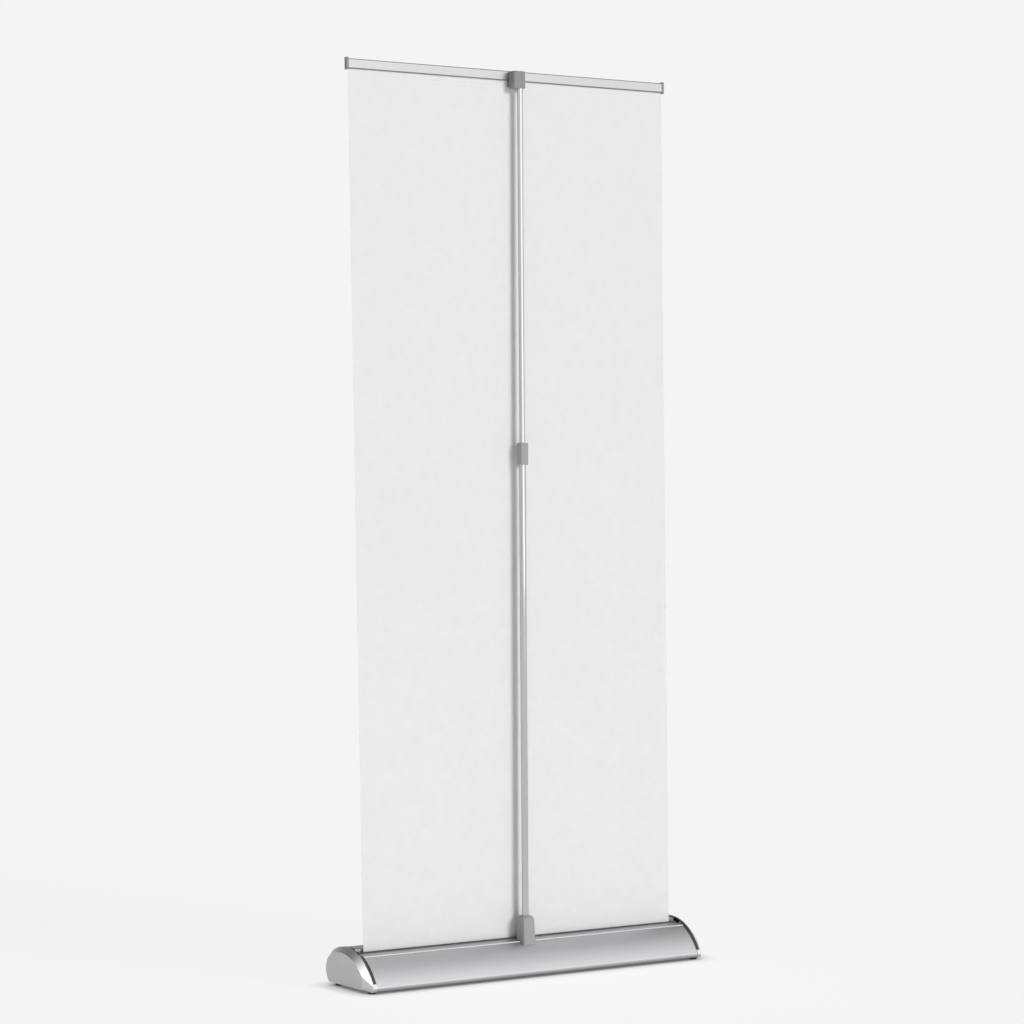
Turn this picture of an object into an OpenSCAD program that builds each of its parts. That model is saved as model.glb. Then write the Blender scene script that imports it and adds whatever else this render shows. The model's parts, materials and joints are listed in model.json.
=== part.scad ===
// Roll-up banner stand with a wide spring cassette, a telescopic rear pole and a clamp top rail.
// Millimetres. The graphic faces -Y, the pole stands on the +Y side, +Z is up.
// The origin is the centre of the base's footprint on the floor.

/* [Banner] */
// Width of the graphic
banner_w = 850; // [600:10:1000]
// Thickness of the graphic
banner_t = 0.5; // [0.3:0.1:1]
// Distance of the graphic's plane behind the centre of the base
banner_y = 11; // [0:1:20]

/* [Base] */
// Length of the extruded body between the end caps
body_w = 886; // [650:2:1040]
// Length of an end cap's straight rim
cap_rim = 10; // [6:1:16]
// Length of an end cap's bevel
cap_bevel = 13; // [8:1:18]
// Radius of the long rear arch
arch_r = 146; // [120:1:170]
// Radius of the front nose
nose_r = 50; // [40:1:60]
// Radius of the rear toe
toe_r = 9.5; // [6:0.5:12]
// Height of the body's underside, which is the height of the feet
foot_h = 4; // [3:0.5:8]
// Wall thickness of the extrusions
wall = 2.2; // [1.5:0.1:3]
// How far the end caps stand proud of the extrusions
cap_proud = 1.2; // [0.5:0.1:2]

/* [Slot and lip] */
// Front edge of the slot
slot_front = 5; // [0:0.5:8]
// Rear edge of the slot, where the lip starts
slot_rear = 17; // [14:0.5:20]
// Height of the lip at the slot
lip_z = 82.5; // [80:0.5:88]
// Distance of the bright ridge behind the centre of the base
ridge_y = 44; // [40:1:50]

/* [Roller] */
// Outer radius of the roller tube
roller_r = 19; // [15:0.5:22]
// Outer radius of the graphic left on the roller
wound_r = 19.6; // [19.5:0.1:24]
// Height of the roller's axis
roller_z = 42; // [36:1:48]
// Radius of the fixed axle
axle_r = 5; // [4:0.5:6]

/* [Pole] */
// Sideways offset of the pole's axis in its foot
pole_x = 3.5; // [-10:0.5:10]
// Distance of the pole's axis behind the centre of the base, in its foot
pole_y = 38.5; // [36:0.5:40]
// Sideways lean of the assembled pole, in degrees
pole_lean = 0.55; // [0:0.05:1]
// Lean of the assembled pole towards the graphic, in degrees
pole_tip = 0.2; // [0:0.05:0.4]
// Outer radius of the lower tube
lower_r = 8; // [7:0.5:10]
// Outer radius of the upper tube
upper_r = 6.5; // [5:0.5:8]
// Height of the top of the pole foot
foot_top = 140; // [120:1:160]
// Height of the underside of the lock collar
collar_z = 1196; // [900:2:1400]
// Height of the lock collar
collar_h = 51; // [40:1:60]

/* [Top rail] */
// Height of the underside of the rail
rail_z = 2081.5; // [1600:0.5:2200]
// Height of the rail
rail_h = 22; // [18:1:30]
// Overall length of the rail with its caps
rail_w = 861; // [620:1:1010]

/* [Hidden] */
$fn = 48;
alu = [0.66, 0.66, 0.68];
chrome = [0.80, 0.81, 0.82];
satin = [0.70, 0.70, 0.70];
grey = [0.58, 0.58, 0.58];
black = [0.10, 0.10, 0.10];
dark = [0.20, 0.20, 0.21];
steel = [0.62, 0.63, 0.65];
white = [0.92, 0.92, 0.92];
half_w = body_w / 2;
rim_x = half_w + cap_rim;
face_x = rim_x + cap_bevel;
arch_c = [-22, -50.5];
nose_a = 112.02;
toe_a = asin((foot_h + toe_r - arch_c[1]) / (arch_r - toe_r));
nose_c = arch_c + (arch_r - nose_r) * [cos(nose_a), sin(nose_a)];
toe_c = arch_c + (arch_r - toe_r) * [cos(toe_a), sin(toe_a)];
body_in = cap_proud + wall;
roller_y = banner_y - banner_t / 2 - 0.3 - wound_r;
pole_pivot_z = 140;
tube_low = 84;
tube_step = collar_z + 30;
upper_low = 1000;
rail_top = rail_z + rail_h;
hinge_y = banner_y - 1.4;
hinge_z = rail_top - 2.6;
hook_low = 2062;
hook_high = 2101;
lever_x = -10.1;
lever_z = collar_z + 43;
web_z = foot_h + body_in + 0.4;
anchor_y = slot_rear + 13.6;
hook_x = pole_x - tan(pole_lean) * (rail_z - pole_pivot_z);
hook_y = pole_y - tan(pole_tip) * (rail_z - pole_pivot_z);
trim_x = rim_x - 2;
trim_low = 24;
hook_front = banner_y + 4.2;
screw_spots = [
  nose_c + 44 * [cos(195), sin(195)], nose_c + 44 * [cos(130), sin(130)],
  arch_c + 140 * [cos(58), sin(58)], arch_c + 140 * [cos(35), sin(35)]
];

// ---- helpers ----

// Points of an arc in the y-z plane
function arc(c, r, a0, a1, n) = [for (i = [0 : n]) c + r * [cos(a0 + (a1 - a0) * i / n), sin(a0 + (a1 - a0) * i / n)]];

// Angle at which a circle of radius r about the nose centre meets height z
function nose_end(r, z) = 180 + asin((nose_c[1] - z) / r);

// Closed outline of the base in the y-z plane, d inside the end caps' rim
function base_outline(d) = concat(
  arc(toe_c, toe_r - d, -90, toe_a, 10),
  arc(arch_c, arch_r - d, toe_a + 1, nose_a - 1, 44),
  arc(nose_c, nose_r - d, nose_a, nose_end(nose_r - d, foot_h + d), 16)
);

// Outline of the flat outer face of an end cap, d inside its edge
function face_outline(d) = concat(
  arc([68, 19], 10 - d, -90, 0, 6),
  arc([68, 34.3], 10 - d, 0, 43, 5),
  arc(arch_c, arch_r - 12.3 - d, 44, nose_a - 1, 30),
  arc(nose_c, nose_r - 12.3 - d, nose_a, nose_end(nose_r - 12.3 - d, 9 + d), 14)
);

// Height of the arch at distance y, d inside the rim
function arch_z(y, d) = arch_c[1] + sqrt(pow(arch_r - d, 2) - pow(y - arch_c[0], 2));

// Puts a y-z drawing upright and runs it along X from x0 to x1
module along_x(x0, x1) {
  translate([x0, 0, 0])
    rotate([90, 0, 90])
      linear_extrude(x1 - x0)
        children();
}

// Cylinder along X
module rod_x(x0, x1, r, y, z) {
  translate([x0, y, z])
    rotate([0, 90, 0])
      cylinder(r = r, h = x1 - x0);
}

// Puts its children on the pole's axis; their own z is the height above the floor
module on_pole() {
  translate([pole_x, pole_y, pole_pivot_z])
    rotate([pole_tip, -pole_lean, 0])
      translate([0, 0, -pole_pivot_z])
        children();
}

// Tube from z0 to z1
module tube(r, r_in, z0, z1) {
  translate([0, 0, z0])
    difference() {
      cylinder(r = r, h = z1 - z0);
      translate([0, 0, -1])
        cylinder(r = r_in, h = z1 - z0 + 2);
    }
}

// Rectangle in x and y with rounded corners
module round_rect(x0, x1, y0, y1, r) {
  hull()
    for (x = [x0 + r, x1 - r], y = [y0 + r, y1 - r])
      translate([x, y])
        circle(r = r, $fn = 32);
}

// Block with rounded upright edges and chamfered top and bottom edges
module soft_block(x0, x1, y0, y1, z0, z1, r, c) {
  hull() {
    translate([0, 0, z0])
      linear_extrude(z1 - z0)
        round_rect(x0 + c, x1 - c, y0 + c, y1 - c, max(r - c, 0.6));
    translate([0, 0, z0 + c])
      linear_extrude(z1 - z0 - 2 * c)
        round_rect(x0, x1, y0, y1, r);
  }
}

// Mirrors a right-hand piece to the left-hand end
module mirrored() {
  mirror([1, 0, 0])
    children();
}

// ---- base body ----

// Screw channel inside an extrusion
module screw_boss(p) {
  translate(p)
    difference() {
      circle(r = 3.6);
      circle(r = 1.62);
    }
}

// Wall of the extrusions, all the way round
module shell_ring() {
  difference() {
    polygon(base_outline(cap_proud));
    polygon(base_outline(body_in));
  }
}

// Front extrusion: nose and top, with the folded front edge of the slot
module front_shell() {
  color(alu)
    along_x(-half_w, half_w) {
      difference() {
        shell_ring();
        translate([slot_front, 0])
          square([200, 200]);
        translate([-86, -10])
          square([300, 30]);
      }
      translate([slot_front - wall, 78])
        square([wall, arch_z(slot_front, body_in) - 78 + 0.6]);
      screw_boss(screw_spots[0]);
      screw_boss(screw_spots[1]);
    }
}

// Lip behind the slot, a thin groove and the rounded ridge where the slope starts
module lip() {
  polygon([
    [slot_rear, lip_z], [slot_rear + 14, lip_z - 1.2], [ridge_y - 4.6, lip_z - 3.4],
    [ridge_y - 4.2, lip_z - 4.6], [ridge_y - 2.8, lip_z - 4.6], [ridge_y - 2.4, lip_z - 3.2],
    [ridge_y - 1.4, lip_z - 2.4], [ridge_y, lip_z - 2.3], [ridge_y + 1.4, lip_z - 3.1],
    [ridge_y + 2, arch_z(ridge_y + 2, cap_proud)], [ridge_y + 2, arch_z(ridge_y + 2, body_in)],
    [ridge_y - 6, lip_z - 7.2], [slot_rear + 14, lip_z - 3.6], [slot_rear + wall, lip_z - wall],
    [slot_rear + wall, 68], [slot_rear, 68]
  ]);
}

// Rear extrusion: lip, ridge, long slope, toe and two inner webs
module rear_shell() {
  color(alu)
    difference() {
      union() {
        along_x(-half_w, half_w)
          difference() {
            shell_ring();
            translate([-200, -10])
              square([200 + ridge_y, 200]);
            translate([-200, -10])
              square([286, 20]);
          }
        along_x(-half_w, half_w)
          lip();
        translate([-half_w, 24, web_z])
          cube([body_w, wall, lip_z - 2 - web_z]);
        translate([-half_w, 62, web_z])
          cube([body_w, wall, arch_z(62 + wall, cap_proud) - 0.5 - web_z]);
        along_x(-half_w, half_w) {
          screw_boss(screw_spots[2]);
          screw_boss(screw_spots[3]);
        }
      }
      foot_screw_lines(1.95);
    }
}

// Flat bottom extrusion that closes the body from below, with two low ribs
module base_tray() {
  color(alu)
    along_x(-half_w, half_w) {
      intersection() {
        shell_ring();
        translate([-85.8, 0])
          square([171.6, foot_h + cap_proud + wall]);
      }
      for (y = [-70, 55])
        translate([y, foot_h + cap_proud])
          square([2, 8]);
    }
}

// Dark plush strip along the rear edge of the slot, which wipes the graphic
module slot_seal() {
  color(black)
    translate([-half_w + 0.5, slot_rear - 3.4, 76])
      cube([body_w - 1, 3.3, 10.2]);
}

// Pressed plate that closes an end of the body and carries the axle
module end_plate() {
  color(steel)
    difference() {
      along_x(half_w + 0.1, half_w + 2.6)
        difference() {
          polygon(base_outline(2.9));
          translate([slot_front - 0.5, 74])
            square([ridge_y, 60]);
        }
      rod_x(half_w - 1, half_w + 4, axle_r + 0.02, roller_y, roller_z);
      plate_screw_holes(1.6);
    }
}

module plate_screw_holes(r) {
  for (p = screw_spots)
    rod_x(half_w - 8, half_w + 4, r, p[0], p[1]);
}

module plate_screws() {
  color(steel)
    for (p = screw_spots) {
      rod_x(half_w - 8, half_w + 3, 1.58, p[0], p[1]);
      difference() {
        rod_x(half_w + 2.65, half_w + 4.6, 2.9, p[0], p[1]);
        translate([half_w + 3.8, p[0] - 2, p[1] - 0.4])
          cube([2, 4, 0.8]);
      }
    }
}

// Polished end cap: toe, heel and narrow rim, then a bevel down to a flat face with a shallow recess
module end_cap() {
  color(chrome)
    union() {
      difference() {
        hull() {
          along_x(half_w, rim_x)
            polygon(base_outline(0));
          along_x(half_w + 1, face_x)
            polygon(face_outline(0));
        }
        hull() {
          along_x(half_w - 1, rim_x - 1)
            polygon(base_outline(2.6));
          along_x(half_w, face_x - 3)
            polygon(face_outline(2.2));
        }
        along_x(face_x - 1, face_x + 1)
          polygon(face_outline(1.1));
        translate([half_w - 1, -200, trim_low])
          cube([trim_x - half_w + 1, 400, 200]);
      }
      cap_tongue();
    }
}

// Tongue inside the end cap that carries the lip's surface on to a web behind the rim
module cap_tongue() {
  along_x(half_w + 0.1, trim_x + 0.6)
    polygon([
      [slot_rear, lip_z], [slot_rear + 14, lip_z - 1.2], [ridge_y - 4.6, lip_z - 3.5],
      [ridge_y - 3, lip_z - 4.6], [ridge_y - 3, lip_z - 7.6], [slot_rear + 14, lip_z - 4], [slot_rear, lip_z - 3]
    ]);
  along_x(trim_x + 0.02, trim_x + 1.3)
    intersection() {
      polygon(base_outline(1.5));
      translate([slot_rear, lip_z - 7.6])
        square([ridge_y - slot_rear, 20]);
    }
}

// Glossy dark band that covers the joint between an end cap and the extrusions
module cap_trim() {
  color(dark)
    difference() {
      along_x(half_w, trim_x - 0.02)
        difference() {
          polygon(base_outline(0));
          polygon(base_outline(2.6));
        }
      translate([half_w - 1, -200, -100])
        cube([20, 400, 100 + trim_low + 0.02]);
      translate([half_w - 1, slot_front, 74])
        cube([6, ridge_y - 2 - slot_front, 40]);
    }
}

// Satin panel let into an end cap's face
module cap_panel() {
  color(satin)
    along_x(face_x - 0.95, face_x)
      polygon(face_outline(1.2));
}

module rubber_feet() {
  color(black)
    for (x = [-half_w - 1, half_w + 1], y = [-70, 84])
      translate([x, y, 0]) {
        cylinder(r1 = 9, r2 = 10, h = 1.5);
        translate([0, 0, 1.5])
          cylinder(r = 10, h = foot_h - 1.5);
      }
}

// ---- roller and spring ----

module spring_shaft() {
  color(steel)
    rod_x(-half_w - 6, -120, axle_r, roller_y, roller_z);
}

module idle_spigot() {
  color(steel)
    union() {
      rod_x(half_w - 28, half_w + 6, axle_r, roller_y, roller_z);
      rod_x(half_w - 4, half_w, axle_r + 3, roller_y, roller_z);
    }
}

// One ring of the coil spring's wire
function coil_ring(i) = [
  for (k = [0 : 5])
    let (a = i * 30, r = 10.5 + 1.1 * cos(k * 60))
      [-386.4 + i * 1.4 + 1.1 * sin(k * 60), roller_y + r * cos(a), roller_z + r * sin(a)]
];

module torsion_spring() {
  n = 168;
  color(steel)
    polyhedron(
      points = [for (i = [0 : n]) each coil_ring(i)],
      faces = concat(
        [[for (k = [5 : -1 : 0]) k]],
        [[for (k = [0 : 5]) n * 6 + k]],
        [for (i = [0 : n - 1], k = [0 : 5]) [i * 6 + k, i * 6 + (k + 1) % 6, (i + 1) * 6 + (k + 1) % 6]],
        [for (i = [0 : n - 1], k = [0 : 5]) [i * 6 + k, (i + 1) * 6 + (k + 1) % 6, (i + 1) * 6 + k]]
      )
    );
}

// Collar that pins the spring's still end to the fixed axle
module spring_anchor() {
  color(grey)
    difference() {
      rod_x(-150, -132, 13, roller_y, roller_z);
      rod_x(-151, -131, axle_r + 0.02, roller_y, roller_z);
    }
}

module roller_tube() {
  color(alu)
    difference() {
      rod_x(-half_w + 12, half_w - 12, roller_r, roller_y, roller_z);
      rod_x(-half_w + 11, half_w - 11, roller_r - 1.4, roller_y, roller_z);
    }
}

// Plug that turns on the axle and carries one end of the roller tube
module roller_plug() {
  color(grey)
    difference() {
      union() {
        rod_x(half_w - 26, half_w - 12, roller_r - 1.45, roller_y, roller_z);
        rod_x(half_w - 12, half_w - 7, roller_r + 2, roller_y, roller_z);
      }
      rod_x(half_w - 30, half_w, axle_r + 0.05, roller_y, roller_z);
    }
}

// Leader that ties the graphic to the roller, one turn with an open seam
module leader_strip() {
  color(black)
    difference() {
      rod_x(-banner_w / 2 + 5, banner_w / 2 - 5, roller_r + 0.22, roller_y, roller_z);
      rod_x(-banner_w / 2, banner_w / 2, roller_r + 0.01, roller_y, roller_z);
      translate([-banner_w / 2, roller_y - 2, roller_z - roller_r - 2])
        cube([banner_w, 4, 4]);
    }
}

// Graphic that stays wound on the roller
module wound_banner() {
  color(white)
    difference() {
      rod_x(-banner_w / 2, banner_w / 2, wound_r, roller_y, roller_z);
      rod_x(-banner_w / 2 - 1, banner_w / 2 + 1, roller_r + 0.24, roller_y, roller_z);
    }
}

// ---- pole ----

// Moulded foot that sits over the lip and the top of the slope and holds the lower tube
module pole_foot() {
  color(grey)
    difference() {
      hull() {
        translate([0, 0, 60])
          linear_extrude(1)
            round_rect(pole_x - 16.8, pole_x + 16.8, pole_y - 15.8, pole_y + 19.5, 3.5);
        translate([0, 0, foot_top - 9.5])
          linear_extrude(1)
            round_rect(pole_x - 15.3, pole_x + 15.3, pole_y - 15, pole_y + 16, 3.5);
        translate([0, 0, foot_top - 5.5])
          linear_extrude(1)
            round_rect(pole_x - 13.6, pole_x + 13.6, pole_y - 13.3, pole_y + 13.8, 5);
        translate([0, 0, foot_top - 2])
          linear_extrude(1)
            round_rect(pole_x - 10.6, pole_x + 10.6, pole_y - 10.4, pole_y + 10.4, 8);
      }
      for (side = [-1, 1])
        translate([pole_x + side * 16.85, pole_y + 11.2, 25 + foot_top / 2])
          rotate([0, side * -1.2, 0])
            cube([1.6, 1.6, foot_top / 2], center = true);
      along_x(-50, 50)
        polygon(concat(
          [[-20, 0], [98, 0]],
          [for (y = [98 : -4 : ridge_y + 6]) [y, arch_z(y, cap_proud - 0.06)]],
          [[ridge_y + 2, lip_z - 2.2], [ridge_y - 2.6, lip_z - 2.2], [slot_rear + 14, lip_z - 1.15],
           [slot_rear, lip_z + 0.05], [-20, lip_z + 0.05]]
        ));
      on_pole()
        translate([0, 0, tube_low])
          cylinder(r = lower_r + 0.04, h = 100);
      foot_screw_lines(1.88);
    }
}

// Plate under the lip that the foot is screwed to
module foot_anchor() {
  color(steel)
    difference() {
      translate([-30, anchor_y - 4, lip_z - 8.6])
        cube([60, 8, 3]);
      foot_screw_lines(1.95);
    }
}

module foot_screw_lines(r) {
  for (x = [pole_x - 12.3, pole_x + 12.3])
    translate([x, anchor_y, lip_z - 14])
      cylinder(r = r, h = 26);
}

module foot_screws() {
  color(steel)
    for (x = [pole_x - 12.3, pole_x + 12.3])
      translate([x, anchor_y, lip_z - 11.9]) {
        cylinder(r = 1.85, h = 23);
        difference() {
          cylinder(r = 3.4, h = 3.25);
          translate([-0.5, -3, -1])
            cube([1, 6, 2]);
        }
      }
}

module lower_tube() {
  color(chrome)
    on_pole()
      tube(lower_r, lower_r - 0.95, tube_low + 4, tube_step);
}

// Plug that closes the lower tube inside the foot
module tube_foot_plug() {
  color(black)
    on_pole()
      translate([0, 0, tube_low + 0.4]) {
        cylinder(r = lower_r - 0.1, h = 3.5);
        translate([0, 0, 3.5])
          cylinder(r = lower_r - 1, h = 8);
      }
}

// Clamp collar at the top of the lower tube, with a recess for the lever in its side
module lock_collar() {
  color(grey)
    on_pole()
      difference() {
        soft_block(-11.8, 8.8, -11, 9.2, collar_z, collar_z + collar_h, 3, 1.5);
        translate([0, 0, collar_z - 1])
          cylinder(r = lower_r + 0.04, h = tube_step - collar_z + 1.04);
        translate([0, 0, collar_z])
          cylinder(r = upper_r + 0.3, h = 60);
        translate([-14, -7.2, collar_z + 2])
          cube([5, 12.4, lever_z + 3 - collar_z - 2]);
        translate([-14, -7.2, lever_z - 4])
          cube([6.2, 12.4, 7]);
        translate([-8.1, -5, lever_z - 5.3])
          cube([4.1, 10, 10.6]);
        lever_bore(1, -14, 14);
      }
}

// Cylinder along the lever pin's axis
module lever_bore(r, y0, y1) {
  translate([lever_x, y0, lever_z])
    rotate([-90, 0, 0])
      cylinder(r = r, h = y1 - y0);
}

// Brake shoe that the lever's cam presses on the upper tube
module clamp_shoe() {
  color(black)
    on_pole()
      difference() {
        translate([-7.8, -4.8, lever_z - 5.1])
          cube([3.6, 9.6, 10.2]);
        translate([0, 0, collar_z])
          cylinder(r = upper_r + 0.05, h = 80);
      }
}

module lever_pin() {
  color(steel)
    on_pole()
      lever_bore(0.95, -9.8, 8);
}

// Clamp lever, folded down into the collar's recess
module lock_lever() {
  color(grey)
    on_pole()
      difference() {
        union() {
          lever_bore(2.2, -6.9, 4.9);
          translate([lever_x - 2.2, -6.9, collar_z + 5])
            cube([2.9, 11.8, lever_z - collar_z - 5]);
          translate([lever_x - 3.8, -6.9, collar_z + 5])
            cube([3, 11.8, 2.4]);
        }
        lever_bore(1.02, -14, 14);
      }
}

module upper_tube() {
  color(chrome)
    difference() {
      on_pole()
        tube(upper_r, upper_r - 0.9, upper_low + 12, hook_high - 8);
      hook_pin_line(1.5, 20);
    }
}

// Nylon glide at the lower end of the upper tube
module tube_glide() {
  color(black)
    on_pole()
      union() {
        translate([0, 0, upper_low])
          cylinder(r = lower_r - 1, h = 12);
        translate([0, 0, upper_low + 12])
          cylinder(r = upper_r - 0.92, h = 14);
      }
}

// Cylinder along the cross pin's axis
module hook_pin_line(r, half) {
  translate([hook_x - half, hook_y, hook_low + 20])
    rotate([0, 90, 0])
      cylinder(r = r, h = 2 * half);
}

// Moulded hook: block behind the rail, ledge under it, tab that stands in the rail's groove
module top_hook() {
  color(grey)
    difference() {
      union() {
        soft_block(hook_x - 11, hook_x + 21.1, hook_front, hook_y + 8.4, hook_low, hook_high, 4, 1.2);
        translate([hook_x - 6, banner_y + 1.4, hook_low + 5])
          cube([29.4, hook_front - banner_y + 1, rail_z - hook_low - 5.3]);
        translate([hook_x - 2, banner_y + 1.8, rail_z - 6])
          cube([21, 1, 12]);
      }
      on_pole()
        translate([0, 0, hook_low - 5])
          cylinder(r = upper_r + 0.02, h = hook_high - hook_low - 3);
      hook_pin_line(1.5, 40);
    }
}

module hook_pin() {
  color(steel)
    translate([hook_x - 8, hook_y, hook_low + 20])
      rotate([0, 90, 0])
        cylinder(r = 1.45, h = 28.6);
}

// ---- top rail ----

// Rear profile of the rail: back plate with a downward groove, and the round hinge channel
module rail_profile() {
  color(alu)
    along_x(-rail_w / 2 + 3.2, rail_w / 2 - 3.2)
      difference() {
        union() {
          translate([banner_y + 0.4, rail_z])
            square([3.6, rail_h - 1]);
          translate([banner_y - 1, rail_top - 2.2])
            square([4, 2.2]);
          translate([hinge_y, hinge_z])
            circle(r = 2.6);
          translate([banner_y + 3, rail_top - 1])
            circle(r = 1);
          translate([banner_y + 0.4, rail_top - 3])
            square([2.8, 3]);
        }
        translate([banner_y + 1.5, rail_z - 1])
          square([1.6, 8.5]);
        for (z = [rail_z + 1.2, rail_top - 2.4])
          translate([banner_y + 3.3, z])
            square([2, 1]);
        translate([hinge_y, hinge_z])
          circle(r = 1.36);
        polygon([
          [hinge_y, hinge_z], [hinge_y + 5 * cos(195), hinge_z + 5 * sin(195)],
          [hinge_y - 5, hinge_z - 6], [hinge_y + 1.2, hinge_z - 6], [hinge_y + 1.2, hinge_z - 2]
        ]);
      }
}

// Front jaw of the rail: bead in the hinge channel, front plate and gripping foot
module rail_jaw() {
  x1 = rail_w / 2 - 5.7;
  color(alu) {
    rod_x(-x1, x1, 1.3, hinge_y, hinge_z);
    along_x(-x1, x1)
      polygon([
        [hinge_y + 0.55, hinge_z], [hinge_y + 0.55, hinge_z - 2.9], [banner_y - 2.8, hinge_z - 4.2],
        [banner_y - 2.8, rail_z + 2], [banner_y - 0.5, rail_z + 2], [banner_y - 0.5, rail_z],
        [banner_y - 4, rail_z], [banner_y - 4, hinge_z - 3.4], [hinge_y - 0.55, hinge_z - 2.9],
        [hinge_y - 0.55, hinge_z]
      ]);
  }
}

// Moulded end cap of the rail
module rail_cap() {
  x1 = rail_w / 2;
  color(grey)
    difference() {
      along_x(x1 - 5.4, x1)
        polygon([
          [banner_y - 3.4, rail_z - 2.8], [banner_y + 3.4, rail_z - 2.8], [banner_y + 4.8, rail_z - 1.4],
          [banner_y + 4.8, rail_top + 1.2], [banner_y + 3.4, rail_top + 2.6], [banner_y - 3.4, rail_top + 2.6],
          [banner_y - 4.8, rail_top + 1.2], [banner_y - 4.8, rail_z - 1.4]
        ]);
      along_x(x1 - 10, x1 - 3.1)
        union() {
          translate([banner_y - 1, rail_z - 0.05])
            square([5.05, rail_h + 0.1]);
          translate([hinge_y, hinge_z])
            circle(r = 2.65);
        }
    }
}

// ---- graphic ----

// Graphic from the roller to the rail
module banner_sheet() {
  color(white)
    translate([-banner_w / 2, banner_y - banner_t / 2, roller_z])
      cube([banner_w, banner_t, rail_z + 13 - roller_z]);
}

front_shell();
rear_shell();
base_tray();
slot_seal();
end_plate();  // right_end_plate
mirrored() end_plate();  // left_end_plate
plate_screws();  // right_plate_screws
mirrored() plate_screws();  // left_plate_screws
end_cap();  // right_end_cap
mirrored() end_cap();  // left_end_cap
cap_trim();  // right_cap_trim
mirrored() cap_trim();  // left_cap_trim
cap_panel();  // right_cap_panel
mirrored() cap_panel();  // left_cap_panel
rubber_feet();
spring_shaft();
torsion_spring();
spring_anchor();
idle_spigot();
roller_tube();
roller_plug();  // right_roller_plug
mirrored() roller_plug();  // left_roller_plug
leader_strip();
wound_banner();
pole_foot();
foot_anchor();
foot_screws();
lower_tube();
tube_foot_plug();
lock_collar();
clamp_shoe();
lever_pin();
lock_lever();
upper_tube();
tube_glide();
top_hook();
hook_pin();
rail_profile();
rail_jaw();
rail_cap();  // right_rail_cap
mirrored() rail_cap();  // left_rail_cap
banner_sheet();
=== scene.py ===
import json
import math

import bmesh
import bpy
from mathutils import Euler, Matrix, Vector, noise


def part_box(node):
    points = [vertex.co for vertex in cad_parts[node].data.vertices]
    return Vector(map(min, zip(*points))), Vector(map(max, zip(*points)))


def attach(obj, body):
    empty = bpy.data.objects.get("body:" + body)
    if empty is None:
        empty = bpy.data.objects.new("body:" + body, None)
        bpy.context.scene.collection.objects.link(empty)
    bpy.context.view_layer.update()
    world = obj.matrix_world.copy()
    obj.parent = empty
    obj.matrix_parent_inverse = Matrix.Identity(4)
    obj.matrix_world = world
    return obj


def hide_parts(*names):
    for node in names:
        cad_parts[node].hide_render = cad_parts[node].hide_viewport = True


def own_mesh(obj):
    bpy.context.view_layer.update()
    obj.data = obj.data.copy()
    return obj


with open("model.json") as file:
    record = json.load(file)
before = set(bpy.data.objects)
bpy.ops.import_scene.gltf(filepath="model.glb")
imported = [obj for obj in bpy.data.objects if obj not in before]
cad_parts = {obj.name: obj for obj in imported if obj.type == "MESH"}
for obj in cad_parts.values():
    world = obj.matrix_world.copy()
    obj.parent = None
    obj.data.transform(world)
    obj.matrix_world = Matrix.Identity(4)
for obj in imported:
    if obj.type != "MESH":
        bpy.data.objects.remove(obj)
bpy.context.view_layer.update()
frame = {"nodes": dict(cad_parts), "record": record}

# Looks of the roll-up banner stand. Metres, in the CAD model's own frame: the graphic faces -Y, the pole
# stands on the +Y side, and the view is from behind, over the stand's right-hand end.

MM = 0.001

# ---- camera and studio ----
CAMERA_PLACE = Vector((3.6088, 5.8593, 1.0646))
CAMERA_YAW = 148.448       # degrees, turned about +Z
CAMERA_TILT = 85.533       # degrees, up from looking straight down
CAMERA_ROLL = -0.771       # degrees, about the line of sight
CAMERA_LENS = 102.82       # mm on a 36 mm wide sensor
CAMERA_SHIFT_Y = 0.2324
BACKDROP = 0.905           # linear grey of the background
FLOOR_RADIUS = 60.0
FLOOR_GLOW = 0.864         # the floor's own light where nothing is near
CONTACT_GLOW = 0.10        # and where the stand covers it
CONTACT_REACH = 0.05       # how far from the stand it is dimmed
KEY_AZIMUTH = 110.5        # degrees from +X towards +Y
KEY_HEIGHT = 17.0          # degrees above the floor
KEY_STRENGTH = 1.80
KEY_SOFTNESS = 22.0        # degrees that the key light spans
MATT_AMBIENT = 0.10         # world level that matt surfaces see
GLOSS_LEVEL = 0.66         # world level that gloss reflects, before the bright patches
GLOSS_ZENITH = 0.55        # share of it that is left straight overhead
GLOSS_FRONT = 0.62         # share of it that is left high up in front of the stand
REAR_PATCH = (-0.198, 0.740, 0.643)     # direction of the bright patch high up behind the stand
SIDE_PATCH = (0.692, 0.147, 0.707)      # direction of the one over the stand's right-hand end
LOW_PATCH = (-0.087, 0.993, -0.087)     # direction of the one at the height of the horizon
GLOSS_PATCHES = (          # direction, power of the cosine (higher is narrower), strength
    (REAR_PATCH, 1.0, 0.25),
    (REAR_PATCH, 4.0, 1.6),
    (SIDE_PATCH, 8.0, 2.4),
    (LOW_PATCH, 12.0, 1.1),
)

# ---- painted shade that depends on the height ----
RAIL_SHADE_LINES = ((2082.2 * MM, 1.1 * MM), (2102.4 * MM, 0.6 * MM))     # rail's painted shade lines: middle, half height
RAIL_SHADE_TONE = (0.17, 0.17, 0.173)
TOP_SHADE_HEIGHTS = (1.9, 2.0)  # heights between which a moulding's colour is painted darker, as painted shade on the top fittings
TOP_SHADE_TONE = 0.74

# ---- the graphic ----
SHEET_THICKNESS = 0.3 * MM
SHEET_WAVE = 0.7 * MM      # how far the tensioned film leaves its plane
FLAT_ABOVE_SLOT = 0.12     # the waves fade out over this height above the slot
FLAT_BELOW_RAIL = 0.10     # and over this height below the rail
CREASE_BELOW_RAIL = 13 * MM
CREASE_WIDTH = 1.6 * MM
CREASE_HEIGHT = 0.35 * MM
ROLL_TURNS = 3


# ---- small helpers for node trees ----

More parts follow.
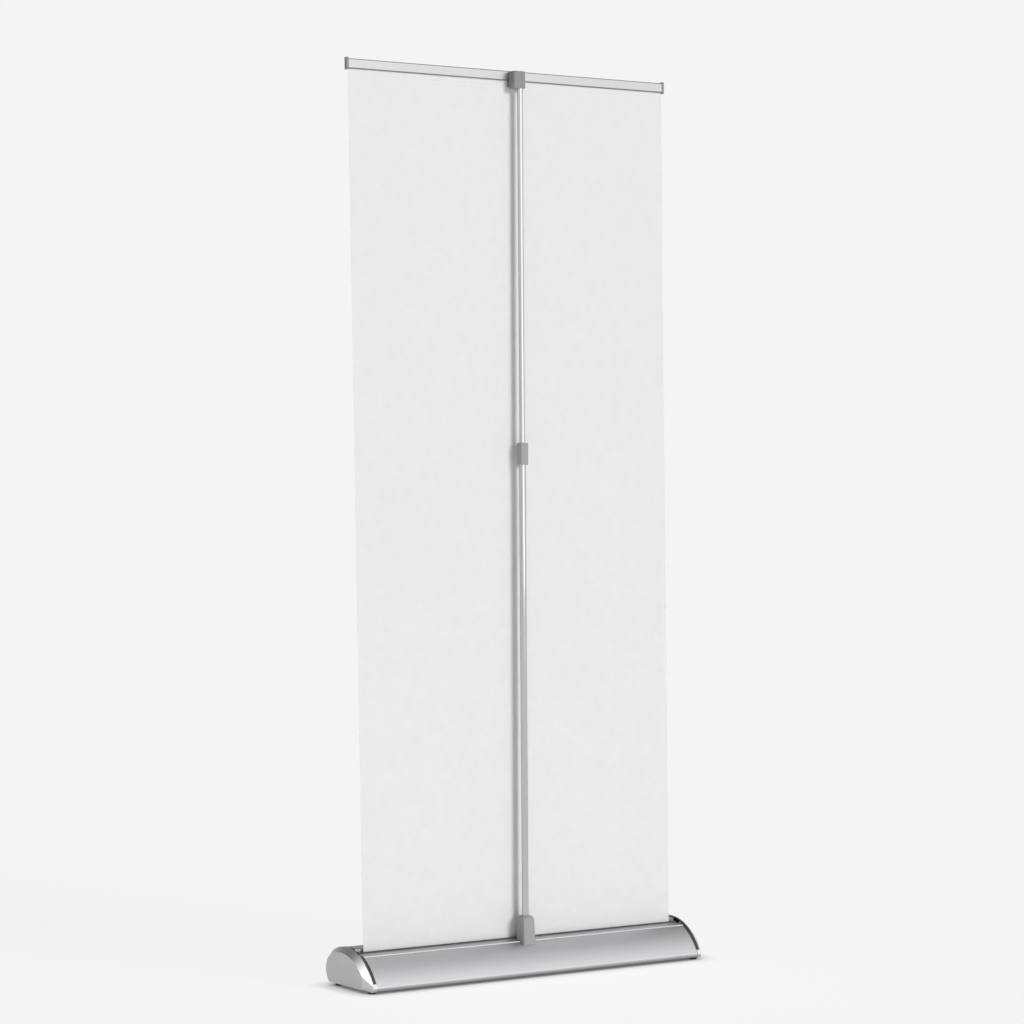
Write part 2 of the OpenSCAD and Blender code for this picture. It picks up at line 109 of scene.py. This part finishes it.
def add(tree, kind, inputs=None, **settings):
    """Adds a node. Inputs are set by name, and a value that is a socket is linked."""
    node = tree.nodes.new(kind)
    for key, value in settings.items():
        setattr(node, key, value)
    for key, value in (inputs or {}).items():
        socket = node.inputs[key]
        if isinstance(value, bpy.types.NodeSocket):
            tree.links.new(value, socket)
        else:
            socket.default_value = value
    return node


def new_material(name):
    """An empty material with a Principled shader, and its tree, shader and object coordinates."""
    mat = bpy.data.materials.new("look_" + name)
    mat.use_nodes = True
    tree = mat.node_tree
    tree.nodes.clear()
    shader = add(tree, "ShaderNodeBsdfPrincipled")
    out = add(tree, "ShaderNodeOutputMaterial")
    tree.links.new(shader.outputs[0], out.inputs[0])
    where = add(tree, "ShaderNodeTexCoord").outputs["Object"]
    return mat, tree, shader, where


def grain(tree, where, scale, stretch=(1, 1, 1), detail=4.0, rough=0.55):
    """Noise whose cells are stretched along the axes: scale is in cells a metre before the stretch."""
    mapped = add(tree, "ShaderNodeMapping", {"Vector": where, "Scale": stretch})
    return add(tree, "ShaderNodeTexNoise", {"Vector": mapped.outputs[0], "Scale": scale, "Detail": detail,
                                            "Roughness": rough}).outputs["Fac"]


def spread(tree, value, low, high, centre=0.5, width=0.5):
    """Maps noise around its middle onto low to high."""
    return add(tree, "ShaderNodeMapRange", {"Value": value, "From Min": centre - width / 2,
                                            "From Max": centre + width / 2, "To Min": low,
                                            "To Max": high}).outputs[0]


def tint(tree, value, dark, light):
    """Blends two colours by a 0 to 1 value."""
    mix = add(tree, "ShaderNodeMix", {0: value}, data_type="RGBA")
    mix.inputs[6].default_value = (*dark, 1)
    mix.inputs[7].default_value = (*light, 1)
    return mix.outputs[2]


def bump(tree, shader, height, distance, strength):
    """Raises the surface by a 0 to 1 height times the distance."""
    node = add(tree, "ShaderNodeBump", {"Height": height, "Distance": distance, "Strength": strength})
    tree.links.new(node.outputs[0], shader.inputs["Normal"])


def link(tree, value, shader, name):
    """Feeds a value to one input of the shader."""
    tree.links.new(value, shader.inputs[name])


# ---- materials ----

def anodised():
    """Satin anodised aluminium with fine lengthwise draw lines, and painted shade lines along the top rail's
    bottom and top edges.
    """
    mat, tree, shader, where = new_material("anodised")
    lines = grain(tree, where, 900, (0.02, 1, 1), 5)
    clouds = grain(tree, where, 9, (1, 1, 1), 3)
    metal = tint(tree, spread(tree, lines, 0, 1), (0.455, 0.455, 0.468), (0.505, 0.505, 0.515))
    # Painted shade: the base colour is darkened in two thin bands, where the shadow gap under the rail and
    # its rounded top edge fall dark.
    height = add(tree, "ShaderNodeSeparateXYZ", {0: where}).outputs["Z"]
    low_shade_line, top_shade_line = [
        add(tree, "ShaderNodeMath", {0: height, 1: middle, 2: half}, operation="COMPARE").outputs[0]
        for middle, half in RAIL_SHADE_LINES]
    edges = add(tree, "ShaderNodeMath", {0: low_shade_line, 1: top_shade_line}, operation="ADD").outputs[0]
    paint = add(tree, "ShaderNodeMix", {0: edges, 6: metal}, data_type="RGBA")
    paint.inputs[7].default_value = (*RAIL_SHADE_TONE, 1)
    link(tree, paint.outputs[2], shader, "Base Color")
    drawn = spread(tree, lines, 0.34, 0.40)
    uneven = spread(tree, clouds, -0.02, 0.02)
    mixed = add(tree, "ShaderNodeMath", {0: drawn, 1: uneven}, operation="ADD")
    link(tree, mixed.outputs[0], shader, "Roughness")
    shader.inputs["Metallic"].default_value = 1.0
    bump(tree, shader, lines, 0.01 * MM, 0.5)
    return mat


def polished(name, color, low, high):
    """Bright plated metal with faint wipe marks."""
    mat, tree, shader, where = new_material(name)
    smears = grain(tree, where, 60, (1, 1, 0.35), 4)
    specks = grain(tree, where, 1400, (1, 1, 1), 2)
    link(tree, tint(tree, spread(tree, smears, 0, 1), [c * 0.97 for c in color], color), shader, "Base Color")
    link(tree, spread(tree, smears, low, high), shader, "Roughness")
    shader.inputs["Metallic"].default_value = 1.0
    bump(tree, shader, specks, 0.002 * MM, 0.3)
    return mat


def satin_panel():
    """Bead-blasted satin panel of an end cap."""
    mat, tree, shader, where = new_material("satin_panel")
    grit = grain(tree, where, 2600, (1, 1, 1), 3)
    clouds = grain(tree, where, 14, (1, 1, 1), 3)
    metal = tint(tree, spread(tree, clouds, 0, 1), (0.52, 0.52, 0.52), (0.56, 0.56, 0.557))
    link(tree, metal, shader, "Base Color")
    link(tree, spread(tree, grit, 0.40, 0.50), shader, "Roughness")
    shader.inputs["Metallic"].default_value = 0.75
    bump(tree, shader, grit, 0.02 * MM, 0.4)
    return mat


def moulded(name, dark, light, low, high, top_shade=1.0):
    """Moulded plastic with a fine spark-eroded texture. The last argument scales the colour of the top
    fittings, as painted shade.
    """
    mat, tree, shader, where = new_material(name)
    pits = grain(tree, where, 2200, (1, 1, 1), 3, 0.6)
    clouds = grain(tree, where, 35, (1, 1, 1), 3)
    height = add(tree, "ShaderNodeSeparateXYZ", {0: where}).outputs["Z"]
    # Painted shade: above these heights the colour is scaled by the last argument, darker on the top
    # fittings.
    tone = add(tree, "ShaderNodeMapRange", {"Value": height, "From Min": TOP_SHADE_HEIGHTS[0],
                                            "From Max": TOP_SHADE_HEIGHTS[1], "To Min": 1.0,
                                            "To Max": top_shade}).outputs[0]
    paint = add(tree, "ShaderNodeVectorMath", {0: tint(tree, spread(tree, clouds, 0, 1), dark, light),
                                               "Scale": tone}, operation="SCALE").outputs[0]
    link(tree, paint, shader, "Base Color")
    link(tree, spread(tree, pits, low, high), shader, "Roughness")
    shader.inputs["Specular IOR Level"].default_value = 0.5
    bump(tree, shader, pits, 0.03 * MM, 0.6)
    return mat


def zinc():
    """Zinc-plated steel with turning marks and small spangles."""
    mat, tree, shader, where = new_material("zinc")
    rings = grain(tree, where, 500, (1, 1, 1), 5)
    cells = add(tree, "ShaderNodeTexVoronoi", {"Vector": where, "Scale": 420.0}).outputs["Distance"]
    metal = tint(tree, spread(tree, rings, 0, 1), (0.46, 0.47, 0.49), (0.62, 0.63, 0.64))
    link(tree, metal, shader, "Base Color")
    link(tree, spread(tree, cells, 0.28, 0.42, 0.35, 0.7), shader, "Roughness")
    shader.inputs["Metallic"].default_value = 1.0
    bump(tree, shader, rings, 0.01 * MM, 0.4)
    return mat


def rubber():
    """Matt black rubber with a fine pitted skin."""
    mat, tree, shader, where = new_material("rubber")
    pits = grain(tree, where, 1300, (1, 1, 1), 4)
    black = tint(tree, spread(tree, pits, 0, 1), (0.018, 0.018, 0.018), (0.035, 0.035, 0.036))
    link(tree, black, shader, "Base Color")
    link(tree, spread(tree, pits, 0.62, 0.8), shader, "Roughness")
    bump(tree, shader, pits, 0.05 * MM, 0.7)
    return mat


def pile():
    """Short dark brush pile."""
    mat, tree, shader, where = new_material("pile")
    hairs = grain(tree, where, 1800, (1, 1, 0.12), 3)
    dark = tint(tree, spread(tree, hairs, 0, 1), (0.05, 0.05, 0.052), (0.14, 0.14, 0.143))
    link(tree, dark, shader, "Base Color")
    shader.inputs["Roughness"].default_value = 0.92
    shader.inputs["Sheen Weight"].default_value = 0.25
    shader.inputs["Sheen Roughness"].default_value = 0.5
    bump(tree, shader, hairs, 0.25 * MM, 0.9)
    return mat


def film():
    """White printing film: matt, with faint mottling and a fine woven scrim under the coating."""
    mat, tree, shader, where = new_material("film")
    mottle = grain(tree, where, 46, (1, 1, 1), 5, 0.6)
    clouds = grain(tree, where, 4, (1, 1, 0.6), 2)
    base = tint(tree, spread(tree, mottle, 0, 1), (0.80, 0.80, 0.80), (0.835, 0.835, 0.832))
    veil = add(tree, "ShaderNodeMix", {0: spread(tree, clouds, 0.0, 0.5), 6: base}, data_type="RGBA",
               blend_type="MULTIPLY")
    veil.inputs[7].default_value = (0.985, 0.985, 0.985, 1)
    link(tree, veil.outputs[2], shader, "Base Color")
    link(tree, spread(tree, mottle, 0.55, 0.68), shader, "Roughness")
    shader.inputs["Specular IOR Level"].default_value = 0.25
    threads = {"Vector": where, "Scale": 420.0, "Distortion": 0.6, "Detail": 1.0}
    across, along = [
        add(tree, "ShaderNodeTexWave", threads, wave_type="BANDS", bands_direction=way,
            wave_profile="SIN").outputs["Fac"]
        for way in "XZ"]
    weave = add(tree, "ShaderNodeMath", {0: across, 1: along}, operation="MULTIPLY").outputs[0]
    bump(tree, shader, weave, 0.008 * MM, 0.35)
    return mat


LOOKS = {
    "extrusion": anodised(),
    "cap_chrome": polished("cap_chrome", (0.56, 0.56, 0.565), 0.07, 0.13),
    "cap_panel": satin_panel(),
    "tube_chrome": polished("tube_chrome", (0.53, 0.53, 0.535), 0.05, 0.11),
    "steel": zinc(),
    "moulding": moulded("moulding", (0.335, 0.335, 0.34), (0.37, 0.37, 0.375), 0.30, 0.42,
                        TOP_SHADE_TONE),
    "gloss_dark": moulded("gloss_dark", (0.035, 0.035, 0.036), (0.045, 0.045, 0.046), 0.10, 0.16),
    "dark_plastic": moulded("dark_plastic", (0.025, 0.025, 0.026), (0.045, 0.045, 0.046), 0.35, 0.5),
    "rubber": rubber(),
    "plush": pile(),
    "graphic": film(),
}


# ---- carried-over CAD nodes ----

def dress_cad_nodes():
    """Gives every CAD node its slot's procedural material."""
    slot_of = {s["node"]: s["material_slot"] for s in frame["record"]["subparts"]}
    for name, obj in frame["nodes"].items():
        for place in obj.material_slots:
            place.material = LOOKS[slot_of[name]]


# ---- pieces built here ----

def make_piece(name, build, body, slot, replaces):
    """Builds a mesh with build(bm), dresses it, ties it to a body and puts it in place of CAD nodes."""
    bm = bmesh.new()
    build(bm)
    bmesh.ops.recalc_face_normals(bm, faces=bm.faces)
    mesh = bpy.data.meshes.new(name)
    bm.to_mesh(mesh)
    bm.free()
    mesh.materials.append(LOOKS[slot])
    obj = bpy.data.objects.new(name, mesh)
    bpy.context.scene.collection.objects.link(obj)
    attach(obj, body)
    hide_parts(*replaces)
    return obj


def band(bm, rows, thickness):
    """Closed thin sheet through rows of (point, normal): one skin on each side and the four edges."""
    skins = []
    for side in (-0.5, 0.5):
        skins.append([[bm.verts.new(p + n * (side * thickness)) for p, n in row] for row in rows])
    last_r, last_c = len(rows) - 1, len(rows[0]) - 1
    for skin in skins:
        for r in range(last_r):
            for c in range(last_c):
                face = bm.faces.new((skin[r][c], skin[r][c + 1], skin[r + 1][c + 1], skin[r + 1][c]))
                face.smooth = True
    a, b = skins
    rims = []
    for r in range(last_r):
        for c in (0, last_c):
            rims.append(bm.faces.new((a[r][c], a[r + 1][c], b[r + 1][c], b[r][c])))
    for c in range(last_c):
        for r in (0, last_r):
            rims.append(bm.faces.new((a[r][c], a[r][c + 1], b[r][c + 1], b[r][c])))
    for face in rims:
        for edge in face.edges:
            edge.smooth = False


def graphic_sheet():
    """The film from the roller to the rail, pulled taut, with the slight waves that tension leaves."""
    low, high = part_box("banner_sheet")
    rail_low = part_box("rail_profile")[0].z
    slot_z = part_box("front_shell")[1].z
    mid_y = (low.y + high.y) / 2
    columns, rows = 72, 170

    def depth(x, z):
        """How far the film leaves its plane at a place, in metres."""
        free_low = min(1.0, max(0.0, (z - slot_z) / FLAT_ABOVE_SLOT))
        free_high = min(1.0, max(0.0, (rail_low - 0.004 - z) / FLAT_BELOW_RAIL))
        upright = noise.noise(Vector((x * 7.0, 0.3, z * 1.1)))
        slanting = noise.noise(Vector((x * 2.2, 4.1, z * 2.6)))
        wave = free_low * free_high * (upright + 0.4 * slanting)
        crease = math.exp(-((z - (rail_low - CREASE_BELOW_RAIL)) / CREASE_WIDTH) ** 2)
        return SHEET_WAVE * wave + CREASE_HEIGHT * crease

    def build(bm):
        across = [low.x + (high.x - low.x) * c / columns for c in range(columns + 1)]
        heights = [low.z + (high.z - low.z) * (r / rows) for r in range(rows + 1)]
        heights += [rail_low - CREASE_BELOW_RAIL + k * 0.8 * MM for k in range(-4, 5)]
        grid = [[(Vector((x, mid_y + depth(x, z), z)), Vector((0, 1, 0))) for x in across]
                for z in sorted(heights)]
        band(bm, grid, SHEET_THICKNESS)

    sheet = make_piece("graphic_film", build, "base", "graphic", ["banner_sheet"])
    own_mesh(sheet)


def wound_film():
    """The turns of film left on the roller, as one spiral."""
    low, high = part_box("wound_banner")
    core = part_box("leader_strip")
    axis_y, axis_z = (low.y + high.y) / 2, (low.z + high.z) / 2
    inner = (core[1].z - core[0].z) / 2 + 0.08 * MM
    outer = (high.z - low.z) / 2 - 0.08 * MM
    steps = 64 * ROLL_TURNS
    thickness = 0.1 * MM

    def build(bm):
        rows = []
        for k in range(steps + 1):
            a = -2 * math.pi * ROLL_TURNS * k / steps
            r = inner + (outer - inner) * k / steps
            n = Vector((0, math.cos(a), math.sin(a)))
            centre = Vector((0, axis_y, axis_z)) + n * r
            rows.append([(centre + Vector((x, 0, 0)), n) for x in (low.x, low.x / 3, high.x / 3, high.x)])
        band(bm, rows, thickness)

    roll = make_piece("wound_film", build, "roller", "graphic", ["wound_banner"])


def slot_brush():
    """Brush strip along the slot: a backing and a fuzzy pile that leans a little towards the film."""
    low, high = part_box("slot_seal")
    steps = 620
    backing = 1.1 * MM

    def profile(x):
        """Section of the strip at x, from the foot of the backing round the pile."""
        fuzz = 0.35 * MM * noise.noise(Vector((x * 900, 0, 0)))
        fuzz_top = 0.5 * MM * noise.noise(Vector((x * 1300, 5, 0)))
        top = high.z - 0.5 * MM + fuzz_top
        return [
            (high.y, low.z), (high.y, top - 1.6 * MM), (high.y - backing, top - 1.2 * MM),
            (high.y - backing - 0.3 * MM, top - 0.3 * MM), (low.y + 1.0 * MM + fuzz, top),
            (low.y + 0.3 * MM + fuzz, top - 0.9 * MM), (low.y + 0.45 * MM + fuzz, top - 3.5 * MM),
            (low.y + 1.3 * MM, low.z + 1.0 * MM), (high.y - backing, low.z),
        ]

    def build(bm):
        rings = []
        for k in range(steps + 1):
            x = low.x + (high.x - low.x) * k / steps
            rings.append([bm.verts.new((x, y, z)) for y, z in profile(x)])
        count = len(rings[0])
        for a, b in zip(rings, rings[1:]):
            for i in range(count):
                j = (i + 1) % count
                bm.faces.new((a[i], a[j], b[j], b[i]))
        bm.faces.new(rings[0])
        bm.faces.new(rings[-1])

    make_piece("slot_brush", build, "base", "plush", ["slot_seal"])


# ---- studio ----

def floor_material():
    """Pale seamless floor: nearly all of its light is its own, less close to and under the stand."""
    mat, tree, shader, where = new_material("floor")
    speckle = grain(tree, where, 3, (1, 1, 1), 2)
    grey = tint(tree, spread(tree, speckle, 0, 1), (0.147, 0.147, 0.147), (0.153, 0.153, 0.153))
    link(tree, grey, shader, "Base Color")
    shader.inputs["Roughness"].default_value = 0.9
    shader.inputs["Specular IOR Level"].default_value = 0.0
    shader.inputs["Emission Color"].default_value = (1, 1, 1, 1)
    near = add(tree, "ShaderNodeAmbientOcclusion", {"Distance": CONTACT_REACH}, samples=12)
    glow = add(tree, "ShaderNodeMapRange", {"Value": near.outputs["AO"], "From Min": 0.0, "From Max": 1.0,
                                            "To Min": CONTACT_GLOW, "To Max": FLOOR_GLOW})
    link(tree, glow.outputs[0], shader, "Emission Strength")
    return mat


def make_floor():
    """A wide round floor at z = 0, as a stage prop."""
    bm = bmesh.new()
    bmesh.ops.create_circle(bm, cap_ends=True, segments=96, radius=FLOOR_RADIUS)
    mesh = bpy.data.meshes.new("floor")
    bm.to_mesh(mesh)
    bm.free()
    mesh.materials.append(floor_material())
    floor = bpy.data.objects.new("floor", mesh)
    bpy.context.scene.collection.objects.link(floor)


def make_world():
    """Even grey for the camera, faint white for matt surfaces, and a studio with bright patches for gloss."""
    world = bpy.data.worlds.new("studio")
    bpy.context.scene.world = world
    world.use_nodes = True
    tree = world.node_tree
    tree.nodes.clear()
    way = add(tree, "ShaderNodeTexCoord").outputs["Generated"]

    def patch(direction, power, strength, under):
        """Adds strength x (cosine to the direction) ** power to a level."""
        facing = add(tree, "ShaderNodeVectorMath", {0: way, 1: direction}, operation="DOT_PRODUCT")
        front = add(tree, "ShaderNodeMath", {0: facing.outputs["Value"], 1: 0.0}, operation="MAXIMUM")
        core = add(tree, "ShaderNodeMath", {0: front.outputs[0], 1: power}, operation="POWER")
        return add(tree, "ShaderNodeMath", {0: core.outputs[0], 1: strength, 2: under},
                   operation="MULTIPLY_ADD").outputs[0]

    level = GLOSS_LEVEL
    for direction, power, strength in GLOSS_PATCHES:
        level = patch(direction, power, strength, level)
    parts = add(tree, "ShaderNodeSeparateXYZ", {0: way}).outputs
    dim = add(tree, "ShaderNodeMapRange", {"Value": parts["Z"], "From Min": 0.0, "From Max": 1.0,
                                           "To Min": 1.0, "To Max": GLOSS_ZENITH}).outputs[0]
    back = add(tree, "ShaderNodeMath", {0: parts["Y"], 1: parts["Z"]}, operation="MULTIPLY").outputs[0]
    shade = add(tree, "ShaderNodeMapRange", {"Value": back, "From Min": -0.45, "From Max": -0.05,
                                             "To Min": GLOSS_FRONT, "To Max": 1.0}).outputs[0]
    both = add(tree, "ShaderNodeMath", {0: dim, 1: shade}, operation="MULTIPLY").outputs[0]
    level = add(tree, "ShaderNodeMath", {0: level, 1: both}, operation="MULTIPLY").outputs[0]
    rays = add(tree, "ShaderNodeLightPath")
    camera = add(tree, "ShaderNodeBackground", {"Color": (BACKDROP, BACKDROP, BACKDROP, 1), "Strength": 1.0})
    matt = add(tree, "ShaderNodeBackground", {"Color": (1, 1, 1, 1), "Strength": MATT_AMBIENT})
    shiny = add(tree, "ShaderNodeBackground", {"Color": (1, 1, 1, 1), "Strength": level})
    inner = add(tree, "ShaderNodeMixShader", {0: rays.outputs["Is Glossy Ray"], 1: matt.outputs[0],
                                              2: shiny.outputs[0]})
    outer = add(tree, "ShaderNodeMixShader", {0: rays.outputs["Is Camera Ray"], 1: inner.outputs[0],
                                              2: camera.outputs[0]})
    out = add(tree, "ShaderNodeOutputWorld")
    tree.links.new(outer.outputs[0], out.inputs[0])


def make_lights():
    """One broad key from behind the stand. Gloss sees the world's bright patches instead of it."""
    data = bpy.data.lights.new("key", "SUN")
    data.energy = KEY_STRENGTH
    data.angle = math.radians(KEY_SOFTNESS)
    key = bpy.data.objects.new("key", data)
    bpy.context.scene.collection.objects.link(key)
    around, up = math.radians(KEY_AZIMUTH), math.radians(KEY_HEIGHT)
    towards = Vector((math.cos(around) * math.cos(up), math.sin(around) * math.cos(up), math.sin(up)))
    key.rotation_euler = (-towards).to_track_quat("-Z", "Y").to_euler()
    key.location = towards * 8
    key.visible_glossy = False


def make_camera():
    """The photograph's view, from behind and over the stand's right-hand end."""
    data = bpy.data.cameras.new("camera")
    data.sensor_width = 36
    data.lens = CAMERA_LENS
    data.shift_y = CAMERA_SHIFT_Y
    data.clip_end = 200
    camera = bpy.data.objects.new("camera", data)
    bpy.context.scene.collection.objects.link(camera)
    turn = Euler((math.radians(CAMERA_TILT), 0, math.radians(CAMERA_YAW))).to_matrix()
    turn = turn @ Matrix.Rotation(math.radians(CAMERA_ROLL), 3, "Z")
    camera.matrix_world = Matrix.Translation(CAMERA_PLACE) @ turn.to_4x4()
    bpy.context.scene.camera = camera


def set_view():
    """Plain sRGB output, so that greys come out as they are set."""
    view = bpy.context.scene.view_settings
    view.view_transform = "Standard"
    view.look = "None"
    view.exposure = 0
    view.gamma = 1


make_camera()
set_view()
make_world()
make_lights()
make_floor()
dress_cad_nodes()
wound_film()
graphic_sheet()
slot_brush()
